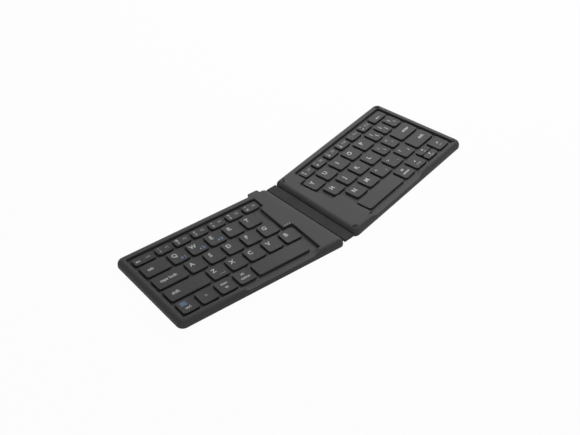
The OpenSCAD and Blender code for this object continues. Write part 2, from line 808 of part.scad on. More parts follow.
module board_with_parts(side, parts) {
    translate([0, 0, board_z]) linear_extrude(board_thickness) board_outline(side);
    for (part = parts)
        translate([spine_u(part[1] + part[3], room_x) + part[0], part[1], board_z + board_thickness])
            cube([part[2], part[3], part[4]]);
}

module port() {
    translate([port_offset, back_edge + lug_depth - port_recess, port_z]) rotate([90, 0, 0]) {
        difference() {
            linear_extrude(port_length) stadium(port_outer_width, port_outer_height);
            translate([0, 0, -1]) linear_extrude(port_length)
                stadium(port_width, port_height);
        }
        translate([0, 0, 1]) linear_extrude(port_length - 1)
            square([port_width - 2, port_height / 4], center = true);
    }
}

module light_pipe_set() {
    for (spot = light_spots)
        translate([spot.x, spot.y, board_z + board_thickness + light_foot_gap])
            cylinder(h = plateau_z - board_z - board_thickness - light_foot_gap, d = light_diameter);
}

// Battery in the widest part of the room, in front of the step of the right half
module cell() {
    back = step_front_at(RIGHT, room_wall + battery_gap);
    front = room_front + battery_gap;
    translate([wall_space(RIGHT) - room_wall - battery_gap - battery_width, front, floor_z])
        linear_extrude(battery_height) rounded_rect(battery_width, back - front, 1);
}

// ---- Fittings ------------------------------------------------------------

module magnets(side) {
    for (spot = magnet_spots)
        translate([spot.x, spot.y, seam_z]) cylinder(h = magnet_height, d = magnet_diameter);
}

module feet(side) {
    for (spot = foot_spots)
        translate([spot.x, spot.y, 0]) linear_extrude(foot_height + pad_seat)
            stadium(foot_length, foot_width);
}

module screws(side) {
    for (spot = screw_spots)
        translate([spot.x, spot.y, base_z + screw_sunk])
            difference() {
                union() {
                    cylinder(h = screw_head_height, d = screw_head);
                    cylinder(h = screw_tip_z - base_z - screw_sunk, d = screw_diameter);
                }
                translate([0, 0, screw_socket_depth - 2])
                    cylinder(h = 2, d = screw_socket, $fn = 6);
            }
}

module bumper_set() {
    for (spot = bumper_spots)
        translate([spot.x, spot.y, plateau_z - pad_seat]) rotate(spot[2])
            linear_extrude(pad_seat + bumper_height) stadium(bumper_length, bumper_width);
}

// ---- Hinge ---------------------------------------------------------------

band_end_inset = 1.6;
band_back = world_y(back_edge, spine_x) - band_end_inset;
band_front = world_y(edge_front, spine_x) + band_end_inset;
cable_middle = 4;
module band() {
    translate([0, -y_mid, 0])
        difference() {
            translate([0, band_back, fold_z]) rotate([90, 0, 0])
                linear_extrude(band_back - band_front)
                    stadium(fold_spacing + band_thickness, band_thickness);
            flat_cable(0, pad_gap);
        }
}

// Flat cable that ends short of both folding lines, with a gap all round for its slot
module flat_cable(short, gap) {
    translate([short - fold_x, cable_middle - cable_width / 2 - gap,
            fold_z - cable_thickness / 2 - gap])
        cube([fold_spacing - 2 * short, cable_width + 2 * gap, cable_thickness + 2 * gap]);
}

module cable() {
    translate([0, -y_mid, 0]) flat_cable(pad_gap, 0);
}

module flange(side) {
    along_spine()
        translate([spine_x, flange_front, flange_low])
            cube([flange_depth, flange_back - flange_front, flange_high - flange_low]);
}

// ---- Sub-parts -----------------------------------------------------------

module bottom_shell_left() { color(dark) half(LEFT) bottom_shell(LEFT); }
module top_shell_left() { color(black) half(LEFT) top_shell(LEFT); }
module key_plate_left() { color("#8d9094") half(LEFT) key_plate(LEFT); }
module membrane_left() { color("#c9c3a8") half(LEFT) membrane(LEFT); }
module domes_left() { color("#b9bcc0") half(LEFT) domes(LEFT); }
module scissors_left() { color("#e4e4e0") half(LEFT) scissors(LEFT); }
module main_board() {
    color("#1f5a3c") half(LEFT)
        board_with_parts(LEFT, left_board_parts);
}
module charging_port() { color("#b8babd") half(LEFT) port(); }
module light_pipes() { color("#e8f0f4") half(LEFT) light_pipe_set(); }
module magnets_left() { color("#a9acb0") half(LEFT) magnets(LEFT); }
module feet_left() { color(rubber) half(LEFT) feet(LEFT); }
module screws_left() { color("#96999d") half(LEFT) screws(LEFT); }
module band_flange_left() { color(rubber) half(LEFT) flange(LEFT); }

module bottom_shell_right() { color(dark) half(RIGHT) bottom_shell(RIGHT); }
module top_shell_right() { color(black) half(RIGHT) top_shell(RIGHT); }
module key_plate_right() { color("#8d9094") half(RIGHT) key_plate(RIGHT); }
module membrane_right() { color("#c9c3a8") half(RIGHT) membrane(RIGHT); }
module domes_right() { color("#b9bcc0") half(RIGHT) domes(RIGHT); }
module scissors_right() { color("#e4e4e0") half(RIGHT) scissors(RIGHT); }
module battery() { color("#9fb1c4") half(RIGHT) cell(); }
module link_board() {
    color("#1f5a3c") half(RIGHT) board_with_parts(RIGHT, right_board_parts);
}
module magnets_right() { color("#a9acb0") half(RIGHT) magnets(RIGHT); }
module feet_right() { color(rubber) half(RIGHT) feet(RIGHT); }
module screws_right() { color("#96999d") half(RIGHT) screws(RIGHT); }
module band_flange_right() { color(rubber) half(RIGHT) flange(RIGHT); }
module bumpers() { color("#151617") half(RIGHT) bumper_set(); }

module hinge_band() { color(rubber) band(); }
module flex_cable() { color("#b5722c") cable(); }

module key_escape() { caps(LEFT, [escape_key]); }
module keys_number_left() { caps(LEFT, number_keys_left); }
module key_tab() { caps(LEFT, [tab_key]); }
module keys_top_left() { caps(LEFT, top_keys_left); }
module key_caps() { caps(LEFT, [caps_key]); }
module keys_home_left() { caps(LEFT, home_keys_left); }
module key_shift_left() { caps(LEFT, [shift_key_left]); }
module keys_lower_left() { caps(LEFT, lower_keys_left); }
module key_ctrl() { caps(LEFT, [modifier_left(0)]); }
module key_fn() { caps(LEFT, [modifier_left(1)]); }
module key_alt_left() { caps(LEFT, [modifier_left(2)]); }
module key_meta_left() { caps(LEFT, [modifier_left(3)]); }
module key_space_left() { caps(LEFT, [space_key_left]); }

module keys_number_right() { caps(RIGHT, number_keys_right); }
module key_backspace() { caps(RIGHT, [backspace_key]); }
module keys_top_right() { caps(RIGHT, top_keys_right); }
module key_backslash() { caps(RIGHT, [backslash_key]); }
module keys_home_right() { caps(RIGHT, home_keys_right); }
module key_enter() { caps(RIGHT, [enter_key]); }
module keys_lower_right() { caps(RIGHT, lower_keys_right); }
module key_shift_right() { caps(RIGHT, [shift_key_right]); }
module key_space_right() { caps(RIGHT, [space_key_right]); }
module key_meta_right() { caps(RIGHT, [meta_key_right]); }
module key_arrow_left() { caps(RIGHT, [arrow_key_left]); }
module key_arrow_up() { caps(RIGHT, [arrow_key_up]); }
module key_arrow_down() { caps(RIGHT, [arrow_key_down]); }
module key_arrow_right() { caps(RIGHT, [arrow_key_right]); }

bottom_shell_left();
top_shell_left();
key_plate_left();
membrane_left();
domes_left();
scissors_left();
main_board();
charging_port();
light_pipes();
magnets_left();
feet_left();
screws_left();
band_flange_left();
bottom_shell_right();
top_shell_right();
key_plate_right();
membrane_right();
domes_right();
scissors_right();
battery();
link_board();
magnets_right();
feet_right();
screws_right();
band_flange_right();
bumpers();
hinge_band();
flex_cable();
key_escape();
keys_number_left();
key_tab();
keys_top_left();
key_caps();
keys_home_left();
key_shift_left();
keys_lower_left();
key_ctrl();
key_fn();
key_alt_left();
key_meta_left();
key_space_left();
keys_number_right();
key_backspace();
keys_top_right();
key_backslash();
keys_home_right();
key_enter();
keys_lower_right();
key_shift_right();
key_space_right();
key_meta_right();
key_arrow_left();
key_arrow_up();
key_arrow_down();
key_arrow_right();
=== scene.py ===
"""Folding keyboard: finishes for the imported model, the printed legends and the stage around it."""
import json
import math

import bmesh
import bpy
from mathutils import Euler, Matrix, Vector
from mathutils.bvhtree import BVHTree


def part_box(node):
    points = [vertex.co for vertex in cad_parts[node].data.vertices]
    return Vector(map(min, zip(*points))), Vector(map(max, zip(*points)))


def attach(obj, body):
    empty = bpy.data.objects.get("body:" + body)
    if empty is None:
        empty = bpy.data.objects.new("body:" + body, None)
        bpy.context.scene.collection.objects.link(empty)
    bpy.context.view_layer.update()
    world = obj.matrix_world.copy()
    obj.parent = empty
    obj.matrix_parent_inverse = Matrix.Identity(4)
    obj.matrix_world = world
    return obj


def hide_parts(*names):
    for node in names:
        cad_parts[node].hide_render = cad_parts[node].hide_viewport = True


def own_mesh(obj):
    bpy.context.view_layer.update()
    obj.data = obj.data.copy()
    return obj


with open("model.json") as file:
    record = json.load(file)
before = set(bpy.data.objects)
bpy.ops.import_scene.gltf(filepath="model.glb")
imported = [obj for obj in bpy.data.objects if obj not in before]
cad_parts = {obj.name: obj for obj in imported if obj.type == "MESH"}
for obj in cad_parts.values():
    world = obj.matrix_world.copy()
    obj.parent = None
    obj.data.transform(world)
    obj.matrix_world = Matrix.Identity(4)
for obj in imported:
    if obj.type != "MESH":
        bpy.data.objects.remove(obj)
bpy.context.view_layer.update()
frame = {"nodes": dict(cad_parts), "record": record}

MM = 0.001
ROW_SLOPE = math.radians(7)
NODE_BODY = {
    node: body for body, nodes in frame["record"]["behaviour"]["bodies"].items() for node in nodes
}


# ---- Shader arithmetic ----------------------------------------------------

class Field:
    """One socket of a node tree, on which Python arithmetic builds Math nodes."""

    def __init__(self, graph, socket):
        self.graph = graph
        self.socket = socket

    def math(self, operation, *operands):
        """A Math node on these operands, in their order."""
        return self.graph.node("ShaderNodeMath", {"operation": operation}, list(operands))

    def __add__(self, other):
        return self.math("ADD", self, other)

    def __radd__(self, other):
        return self.math("ADD", other, self)

    def __mul__(self, other):
        return self.math("MULTIPLY", self, other)

    def between(self, low, high):
        """0 below low, 1 above high and smooth between them."""
        settings = {"interpolation_type": "SMOOTHSTEP"}
        return self.graph.node("ShaderNodeMapRange", settings, [self, low, high, 0, 1])


class Graph:
    """A node tree, emptied and built anew."""

    def __init__(self, owner):
        owner.use_nodes = True
        self.tree = owner.node_tree
        self.tree.nodes.clear()

    def put(self, socket, value):
        """Links a field to a socket, or sets the socket's own value."""
        if isinstance(value, Field):
            self.tree.links.new(value.socket, socket)
        else:
            socket.default_value = value

    def node(self, kind, settings, values, output=0):
        """Adds a node of any kind: its settings first, then its inputs by place or by name."""
        node = self.tree.nodes.new(kind)
        for key, value in settings.items():
            setattr(node, key, value)
        places = values.items() if isinstance(values, dict) else enumerate(values)
        for key, value in places:
            self.put(node.inputs[key], value)
        return Field(self, node.outputs[output])

    def seen(self):
        """1 for rays of the camera, also in a reflection or through something clear."""
        kinds = ("Is Camera Ray", "Is Glossy Ray", "Is Transmission Ray")
        camera, glossy, clear = [self.node("ShaderNodeLightPath", {}, {}, kind) for kind in kinds]
        return camera + glossy + clear


# Places of the colour sockets of a Mix node
MIX_COLOUR_A = 6
MIX_COLOUR_B = 7
MIX_COLOUR_RESULT = 2


class Finish(Graph):
    """A material whose surface is one Principled shader."""

    def __init__(self, name):
        self.material = bpy.data.materials.new(name)
        super().__init__(self.material)
        self.output = self.tree.nodes.new("ShaderNodeOutputMaterial")
        self.shader = self.tree.nodes.new("ShaderNodeBsdfPrincipled")
        self.tree.links.new(self.shader.outputs["BSDF"], self.output.inputs["Surface"])

    def place(self):
        """The piece's own coordinates, in metres."""
        return self.node("ShaderNodeTexCoord", {}, {}, "Object")

    def grain(self, size, detail=2.0, roughness=0.5, stretch=(1, 1, 1)):
        """Even noise from 0 to 1 whose lumps are about size metres wide."""
        placed = self.node("ShaderNodeMapping", {}, {"Vector": self.place(), "Scale": stretch})
        inputs = {"Vector": placed, "Scale": 1 / size, "Detail": detail, "Roughness": roughness}
        return self.node("ShaderNodeTexNoise", {}, inputs)

    def cells(self, size):
        """Distance from the middle of round cells about size metres wide."""
        inputs = {"Vector": self.place(), "Scale": 1 / size}
        return self.node("ShaderNodeTexVoronoi", {"feature": "F1"}, inputs)

    def blend(self, factor, low, high):
        """A mix of two display colours."""
        inputs = {"Factor": factor, MIX_COLOUR_A: colour(low), MIX_COLOUR_B: colour(high)}
        return self.node("ShaderNodeMix", {"data_type": "RGBA"}, inputs, MIX_COLOUR_RESULT)

    def bump(self, height, distance):
        """A normal from a height field from 0 to 1 that stands for distance metres."""
        inputs = {"Height": height, "Distance": distance, "Strength": 1.0}
        return self.node("ShaderNodeBump", {}, inputs)

    def set(self, **values):
        """Sets inputs of the shader; a tuple is a display colour."""
        for key, value in values.items():
            socket = self.shader.inputs[key.replace("_", " ").title()]
            self.put(socket, colour(value) if isinstance(value, tuple) else value)


def linear(part):
    """One part of a display colour from 0 to 1, as linear light."""
    return part / 12.92 if part <= 0.04045 else ((part + 0.055) / 1.055) ** 2.4


def colour(shown):
    """A colour in display values from 0 to 255, as the shader's own linear colour."""
    return (*[linear(part / 255) for part in shown], 1.0)


# ---- Finishes -------------------------------------------------------------

def moulded_plastic(name, dark, light, roughness, texture, depth):
    """Matt black plastic with a fine spark-eroded texture, a little lighter in broad patches."""
    finish = Finish(name)
    texture_height = finish.grain(texture, detail=3)
    patches = finish.grain(38 * MM, detail=2).between(0.3, 0.7)
    speckle = finish.grain(0.5 * MM, detail=1).between(0.35, 0.65)
    finish.set(
        base_color=finish.blend(patches * 0.6 + speckle * 0.4, dark, light),
        roughness=roughness - 0.03 + patches * 0.05 + texture_height * 0.03,
        normal=finish.bump(texture_height, depth),
    )
    finish.shader.inputs["Specular IOR Level"].default_value = 0.2
    return finish.material


def soft_rubber(name, dark, light, roughness):
    """Soft rubber skin: a dull, slightly cloudy surface with fine pores."""
    finish = Finish(name)
    clouds = finish.grain(9 * MM, detail=4).between(0.3, 0.75)
    pores = finish.cells(0.35 * MM).between(0.1, 0.5)
    finish.set(
        base_color=finish.blend(clouds, dark, light),
        roughness=roughness + clouds * 0.08,
        normal=finish.bump(pores, 0.012 * MM),
    )
    finish.shader.inputs["Specular IOR Level"].default_value = 0.3
    finish.shader.inputs["Sheen Weight"].default_value = 0.05
    return finish.material


def rolled_metal(name, dark, light, roughness, stretch):
    """Sheet metal with fine lines along the direction in which it was rolled or brushed."""
    finish = Finish(name)
    lines = finish.grain(1.2 * MM, detail=3, stretch=stretch)
    clouds = finish.grain(14 * MM)
    finish.set(
        base_color=finish.blend(clouds, dark, light),
        roughness=roughness - 0.06 + lines * 0.12,
        normal=finish.bump(lines, 0.006 * MM),
    )
    finish.shader.inputs["Metallic"].default_value = 1.0
    return finish.material


def printed_film(name, dark, light):
    """Tinted circuit film with faint printed tracks."""
    finish = Finish(name)
    tracks = finish.node(
        "ShaderNodeTexWave", {"wave_type": "BANDS", "bands_direction": "Y"},
        {"Vector": finish.place(), "Scale": 1 / (6 * MM), "Distortion": 1.5},
    )
    finish.set(
        base_color=finish.blend(tracks.between(0.75, 0.9), dark, light),
        roughness=0.28 + finish.grain(5 * MM) * 0.1,
    )
    return finish.material


def printed_circuit(name):
    """Green solder mask over copper tracks."""
    finish = Finish(name)
    tracks = finish.node(
        "ShaderNodeTexBrick", {"offset": 0.5},
        {
            "Vector": finish.place(), "Scale": 1 / (7 * MM),
            "Mortar Size": 0.06, "Mortar Smooth": 0.1,
        },
        "Fac",
    )
    finish.set(
        base_color=finish.blend(tracks, (24, 84, 58), (44, 122, 82)),
        roughness=0.34 + finish.grain(3 * MM) * 0.12,
        normal=finish.bump(tracks, 0.03 * MM),
    )
    return finish.material


def silicone(name, dark, light):
    """Milky, faintly cloudy moulding of the small parts under the keys."""
    finish = Finish(name)
    clouds = finish.grain(2 * MM, detail=2)
    finish.set(
        base_color=finish.blend(clouds, dark, light),
        roughness=0.5 + clouds * 0.1,
        normal=finish.bump(finish.grain(0.2 * MM), 0.01 * MM),
    )
    finish.shader.inputs["Subsurface Weight"].default_value = 0.1
    finish.shader.inputs["Subsurface Scale"].default_value = 0.5 * MM
    return finish.material


def foil_pouch(name):
    """Creased foil of a battery pouch."""
    finish = Finish(name)
    creases = finish.grain(4 * MM, detail=5, roughness=0.65)
    finish.set(
        base_color=finish.blend(creases, (146, 156, 168), (182, 190, 198)),
        roughness=0.26 + creases * 0.16,
        normal=finish.bump(creases, 0.12 * MM),
    )
    finish.shader.inputs["Metallic"].default_value = 0.9
    return finish.material


def frosted_light(name):
    """Frosted light guide, unlit."""
    finish = Finish(name)
    haze = finish.grain(0.4 * MM)
    finish.set(
        base_color=finish.blend(haze, (190, 194, 198), (218, 221, 224)),
        roughness=0.35 + haze * 0.15,
        normal=finish.bump(haze, 0.01 * MM),
    )
    return finish.material


def ink(name, dark, light):
    """Screen-printed ink, a little uneven and duller than the plastic round it."""
    finish = Finish(name)
    cover = finish.grain(0.3 * MM, detail=2).between(0.25, 0.6)
    finish.set(
        base_color=finish.blend(cover, dark, light),
        roughness=0.5 + cover * 0.1,
        normal=finish.bump(cover, 0.004 * MM),
    )
    return finish.material


SHELL = moulded_plastic("housing_plastic", (72, 72, 73), (80, 80, 80), 0.52, 0.32 * MM, 0.02 * MM)
BASE = moulded_plastic("base_plastic", (58, 58, 60), (66, 66, 67), 0.55, 0.4 * MM, 0.03 * MM)
KEY = moulded_plastic("key_plastic", (60, 60, 61), (68, 68, 68), 0.47, 0.25 * MM, 0.012 * MM)
BAND = soft_rubber("hinge_band_rubber", (31, 31, 33), (39, 39, 41), 0.7)
PAD = soft_rubber("pad_rubber", (15, 15, 16), (22, 22, 23), 0.62)
STEEL = rolled_metal("plate_steel", (150, 152, 155), (176, 178, 180), 0.34, (1, 12, 12))
PORT = rolled_metal("port_steel", (168, 170, 172), (196, 197, 198), 0.26, (12, 1, 12))
SCREW = rolled_metal("screw_steel", (70, 70, 72), (96, 96, 98), 0.38, (6, 6, 1))
MAGNET = rolled_metal("magnet_plating", (170, 172, 176), (196, 198, 200), 0.2, (1, 1, 6))
FILM = printed_film("membrane_film", (150, 138, 96), (196, 186, 148))
CABLE = printed_film("cable_film", (150, 84, 28), (196, 128, 58))
BOARD = printed_circuit("circuit_board")
DOME = silicone("dome_silicone", (168, 171, 174), (190, 192, 194))
LINK = silicone("link_plastic", (206, 206, 200), (222, 222, 216))
CELL = foil_pouch("battery_foil")
LIGHT = frosted_light("light_guide")
WHITE_INK = ink("white_ink", (206, 206, 205), (230, 230, 229))
GREY_INK = ink("grey_ink", (140, 144, 152), (166, 169, 176))
BLUE_INK = ink("blue_ink", (104, 134, 182), (140, 164, 204))

NODE_FINISH = {
    "top_shell": SHELL, "bottom_shell": BASE, "key_plate": STEEL, "membrane": FILM, "domes": DOME,
    "scissors": LINK, "main_board": BOARD, "link_board": BOARD, "charging_port": PORT,
    "light_pipes": LIGHT, "magnets": MAGNET, "feet": PAD, "bumpers": PAD, "screws": SCREW,
    "band_flange": BAND, "hinge_band": BAND, "battery": CELL, "flex_cable": CABLE,
}


def dress_nodes():
    """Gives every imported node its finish; whatever the table doesn't name is a key."""
    for name, node in frame["nodes"].items():
        found = [finish for stem, finish in NODE_FINISH.items() if name.startswith(stem)]
        node.data.materials.clear()
        node.data.materials.append(found[0] if found else KEY)


dress_nodes()


# ---- Key legends ----------------------------------------------------------

class KeyTop:
    """The top of one key in its node: its corners along the rows, and how high its surface lies."""

    def __init__(self, points, turn, surface):
        placed = [turn.inverted() @ point for point in points]
        self.left = min(point.x for point in placed)
        self.right = max(point.x for point in placed)
        self.front = min(point.y for point in placed)
        self.back = max(point.y for point in placed)
        self.top = max(point.z for point in points)
        self.turn = turn
        self.surface = surface

    def at(self, across, down):
        """A point of the key, from its left and back edges, or its right and front if negative."""
        x = self.left + across if across >= 0 else self.right + across
        y = self.back - down if down >= 0 else self.front - down
        return Vector((x, y, 0))

    def covers(self, point):
        """Whether a point of the table lies under the key."""
        placed = self.turn.inverted() @ point
        return self.left < placed.x < self.right and self.front < placed.y < self.back

    def height(self, point):
        """Height of the key's surface over a point of the table."""
        hit = self.surface.ray_cast(Vector((point.x, point.y, self.top + MM)), Vector((0, 0, -1)))
        return hit[0].z if hit[0] else self.top


SAME_PLACE = 0.001 * MM


def merged_copy(node_name):
    """A CAD node's mesh with its loose triangles joined."""
    mesh = bmesh.new()
    mesh.from_mesh(frame["nodes"][node_name].data)
    bmesh.ops.remove_doubles(mesh, verts=mesh.verts, dist=SAME_PLACE)
    return mesh


def islands(mesh):
    """The separate shells of a mesh, each as a list of its vertices."""
    found = []
    waiting = set(mesh.verts)
    while waiting:
        island = [waiting.pop()]
        for vert in island:
            for edge in vert.link_edges:
                other = edge.other_vert(vert)
                if other in waiting:
                    waiting.discard(other)
                    island.append(other)
        found.append(island)
    return found


RIGHT_BODIES = {
    NODE_BODY[name] for name in frame["nodes"]
    if name.startswith("key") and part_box(name)[0].x > 0
}


def key_tops(node_name):
    """The keys of a node from left to right."""
    side = 1 if NODE_BODY[node_name] in RIGHT_BODIES else -1
    turn = Matrix.Rotation(side * ROW_SLOPE, 3, "Z")
    mesh = merged_copy(node_name)
    surface = BVHTree.FromBMesh(mesh)
    tops = [KeyTop([vert.co.copy() for vert in island], turn, surface) for island in islands(mesh)]
    mesh.free()
    return sorted(tops, key=lambda top: top.left)


# Half of the print's thickness; three quarters of the whole stand over the key
INK_LIFT = 0.015 * MM
# Heights of the print
LETTER = 5.8 * MM
WORD = 4.2 * MM
CTRL_WORD = 3.8 * MM
SMALL = 3.3 * MM
TINY = 2.6 * MM
CHANNEL_ARROW = 3.0 * MM
MOVE_ARROW = 2.9 * MM
ERASE_ARROW = 2.6 * MM
# Width and depth of the printed bars
MENU_BAR = (5.4 * MM, 0.9 * MM)
SPACE_BAR = (5.5 * MM, 0.5 * MM)
ERASE_BAR = (4.2 * MM, 0.6 * MM)
# What each stroke gains on either side, as a share of the print's height
STROKE = 0.028
CURVE_STEPS = 5


def text_mesh(text, size):
    """A line of raised print, centred on the origin."""
    curve = bpy.data.curves.new("legend", "FONT")
    curve.body = text
    curve.size = size
    curve.align_x = "CENTER"
    curve.align_y = "CENTER"
    curve.extrude = INK_LIFT
    curve.offset = STROKE * size
    curve.resolution_u = CURVE_STEPS
    carrier = bpy.data.objects.new("legend", curve)
    bpy.context.scene.collection.objects.link(carrier)
    bpy.context.view_layer.update()
    mesh = bmesh.new()
    mesh.from_mesh(carrier.to_mesh())
    carrier.to_mesh_clear()
    bpy.data.objects.remove(carrier)
    bpy.data.curves.remove(curve)
    return mesh


def arrow_mesh(angle, size):
    """A solid triangle that points along an angle."""
    mesh = bmesh.new()
    bmesh.ops.create_cone(
        mesh, cap_ends=True, segments=3, radius1=size / 2, radius2=size / 2, depth=2 * INK_LIFT,
        matrix=Matrix.Rotation(angle - math.pi / 2, 4, "Z"),
    )
    return mesh


def bar_mesh(width, height):
    """A plain bar, centred on the origin."""
    mesh = bmesh.new()
    bmesh.ops.create_cube(mesh, size=1, matrix=Matrix.Diagonal((width, height, 2 * INK_LIFT, 1)))
    return mesh


class Print:
    """The legends of one node, gathered in one mesh with one ink per face."""

    INKS = [WHITE_INK, GREY_INK, BLUE_INK]

    def __init__(self, node_name):
        self.node_name = node_name
        self.mesh = bmesh.new()

    def add(self, key, shape, across, down, finish=WHITE_INK):
        """Lays a shape on a key, following the hollow of its top."""
        centre = key.at(across, down)
        for vert in shape.verts:
            placed = key.turn @ (centre + Vector((vert.co.x, vert.co.y, 0)))
            level = key.height(placed) + vert.co.z + INK_LIFT / 2
            vert.co = Vector((placed.x, placed.y, level))
        for face in shape.faces:
            face.material_index = self.INKS.index(finish)
        data = bpy.data.meshes.new("legend")
        shape.to_mesh(data)
        shape.free()
        self.mesh.from_mesh(data)
        bpy.data.meshes.remove(data)

    def write(self, key, text, size, across, down, finish=WHITE_INK):
        self.add(key, text_mesh(text, size), across, down, finish)

    def finish(self):
        """Makes the piece of the gathered legends."""
        data = bpy.data.meshes.new("legends_" + self.node_name)
        bmesh.ops.remove_doubles(self.mesh, verts=self.mesh.verts, dist=SAME_PLACE / 10)
        bmesh.ops.recalc_face_normals(self.mesh, faces=self.mesh.faces)
        self.mesh.to_mesh(data)
        self.mesh.free()
        for finish in self.INKS:
            data.materials.append(finish)
        piece = bpy.data.objects.new("legends_" + self.node_name, data)
        bpy.context.scene.collection.objects.link(piece)
        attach(piece, NODE_BODY[self.node_name])


# Middles of the legends, as KeyTop.at takes them
LEFT_LETTER = (5.2 * MM, 5.5 * MM)
RIGHT_LETTER = (6.2 * MM, 6.3 * MM)
SHIFTED_MARK = (4.4 * MM, 4.9 * MM)
PLAIN_MARK = (-4.2 * MM, -5.0 * MM)
DIGIT_MARK = (3.6 * MM, 2.4 * MM)
DIGIT = (3.6 * MM, 5.9 * MM)
DUTY = (-4.2 * MM, 4.2 * MM)
UPPER_LINE = (7.6 * MM, 4.8 * MM)
LOWER_LINE = (7.6 * MM, 9.2 * MM)
ERASE_DOWN = 5.6 * MM
WORD_DOWN = 7.2 * MM
# Half of a letter's mean width, as a share of the print's height
HALF_LETTER = 0.27
# An arrow key deeper than this is as deep as a letter key
FULL_DEPTH = 10 * MM


def letters(sheet, keys, text, place):
    """One capital on each key, towards its back left corner."""
    for key, letter in zip(keys, text):
        sheet.write(key, letter, LETTER, *place)


def pairs(sheet, keys, marks):
    """Two marks on each key: the shifted one at the back left, the plain one at the front right."""
    for key, (shifted, plain) in zip(keys, marks):
        sheet.write(key, shifted, WORD, *SHIFTED_MARK)
        sheet.write(key, plain, WORD, *PLAIN_MARK)


def numbers(sheet, keys, marks):
    """A digit with its shifted mark behind it, and a grey second duty at the right."""
    for key, (shifted, plain, duty) in zip(keys, marks):
        sheet.write(key, shifted, TINY, *DIGIT_MARK)
        sheet.write(key, plain, SMALL, *DIGIT)
        sheet.write(key, duty, SMALL, *DUTY, GREY_INK)


def word(sheet, keys, text, across=2.8 * MM):
    """A word that starts at the left edge of the key, or ends at the right edge if negative."""
    half = HALF_LETTER * WORD * len(text)
    sheet.write(keys[0], text, WORD, across + half if across > 0 else across - half, WORD_DOWN)


def two_lines(sheet, keys, upper, lower):
    """Two short words, one in front of the other."""
    sheet.write(keys[0], upper, SMALL, *UPPER_LINE)
    sheet.write(keys[0], lower, SMALL, *LOWER_LINE)


def print_top_left(sheet, keys):
    """Letters, and a blue triangle and number at the front right of the first three."""
    letters(sheet, keys, "QWERT", LEFT_LETTER)
    for channel, key in enumerate(keys[:3], 1):
        sheet.add(key, arrow_mesh(math.pi / 2, CHANNEL_ARROW), -6.2 * MM, -3.6 * MM, BLUE_INK)
        sheet.write(key, str(channel), WORD, -3.3 * MM, -3.5 * MM, BLUE_INK)


def print_lower_left(sheet, keys):
    """Letters, and a thin grey bar on the first key."""
    letters(sheet, keys, "ZXCVB", LEFT_LETTER)
    sheet.add(keys[0], bar_mesh(*SPACE_BAR), -5.4 * MM, -3.4 * MM, GREY_INK)


def print_top_right(sheet, keys):
    """Letters, then the brackets."""
    letters(sheet, keys[:5], "YUIOP", RIGHT_LETTER)
    pairs(sheet, keys[5:], ["{[", "}]"])


def print_home_right(sheet, keys):
    """Letters, then the colon and the quotes."""
    letters(sheet, keys[:4], "HJKL", RIGHT_LETTER)
    pairs(sheet, keys[4:], [":;", "\"'"])


def print_lower_right(sheet, keys):
    """Letters, then the comma, the point and the slash."""
    letters(sheet, keys[:2], "NM", RIGHT_LETTER)
    pairs(sheet, keys[2:], ["<,", ">.", "?/"])


def print_arrow(sheet, keys, angle, duty):
    """An arrow over a grey word, closer together on the two half-depth keys."""
    key = keys[0]
    middle = (key.right - key.left) / 2
    deep = key.back - key.front > FULL_DEPTH
    sheet.add(key, arrow_mesh(angle, MOVE_ARROW), middle, 6.6 * MM if deep else 2.4 * MM)
    sheet.write(key, duty, TINY, middle, 10.6 * MM if deep else 5.2 * MM, GREY_INK)


def print_ctrl(sheet, keys):
    """Three blue bars and a word."""
    for bar in range(3):
        sheet.add(keys[0], bar_mesh(*MENU_BAR), 5.8 * MM, (3.1 + 1.5 * bar) * MM, BLUE_INK)
    sheet.write(keys[0], "ctrl", CTRL_WORD, 6.9 * MM, 9.9 * MM)


def print_escape(sheet, keys):
    """A short word, and a small grey one at the right."""
    sheet.write(keys[0], "esc", SMALL, 4.4 * MM, 4.9 * MM)
    sheet.write(keys[0], "lock", TINY, -5.5 * MM, 4.4 * MM, GREY_INK)


def print_backspace(sheet, keys):
    """An arrow to the left with a bar for its shaft."""
    sheet.add(keys[0], arrow_mesh(math.pi, ERASE_ARROW), 7.6 * MM, ERASE_DOWN)
    sheet.add(keys[0], bar_mesh(*ERASE_BAR), 10.2 * MM, ERASE_DOWN)


